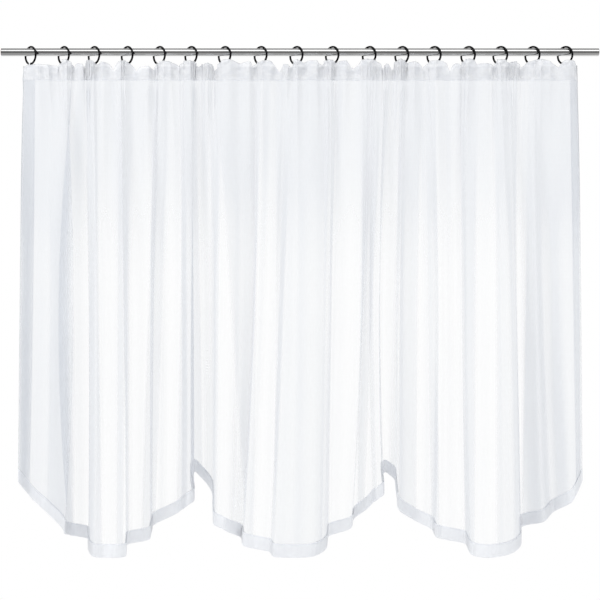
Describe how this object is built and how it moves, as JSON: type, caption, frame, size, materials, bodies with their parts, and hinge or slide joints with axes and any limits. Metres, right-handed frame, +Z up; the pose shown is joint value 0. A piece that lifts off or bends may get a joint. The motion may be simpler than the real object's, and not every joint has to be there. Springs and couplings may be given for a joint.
{
  "type": "cafe curtain on a rod",
  "caption": "Sheer gathered cafe curtain with a ruffled heading and a satin-bound scalloped hem, hung by black rings from a plain steel rod.",
  "frame": {"origin": "middle of the rod, on its axis", "axes": "+X along the rod to the right as the curtain is seen from the room, +Z up, the front of the curtain faces -Y"},
  "size_m": [1.244, 0.1788, 1.0485],
  "materials": {
    "rod_steel": "polished",
    "ring_black": "gloss",
    "voile": "sheer plain weave",
    "heading_tape": "sheer woven tape",
    "satin_binding": "satin"
  },
  "bodies": {
    "root": {"rod": "rod_steel", "curtain_panel": "voile", "heading_tape": "heading_tape", "hem_binding": "satin_binding", "loop_01": "heading_tape", "loop_02": "heading_tape", "loop_03": "heading_tape", "loop_04": "heading_tape", "loop_05": "heading_tape", "loop_06": "heading_tape", "loop_07": "heading_tape", "loop_08": "heading_tape", "loop_09": "heading_tape", "loop_10": "heading_tape", "loop_11": "heading_tape", "loop_12": "heading_tape", "loop_13": "heading_tape", "loop_14": "heading_tape", "loop_15": "heading_tape", "loop_16": "heading_tape", "loop_17": "heading_tape", "ring_01": "ring_black", "ring_02": "ring_black", "ring_03": "ring_black", "ring_04": "ring_black", "ring_05": "ring_black", "ring_06": "ring_black", "ring_07": "ring_black", "ring_08": "ring_black", "ring_09": "ring_black", "ring_10": "ring_black", "ring_11": "ring_black", "ring_12": "ring_black", "ring_13": "ring_black", "ring_14": "ring_black", "ring_15": "ring_black", "ring_16": "ring_black", "ring_17": "ring_black"}
  },
  "joints": []
}
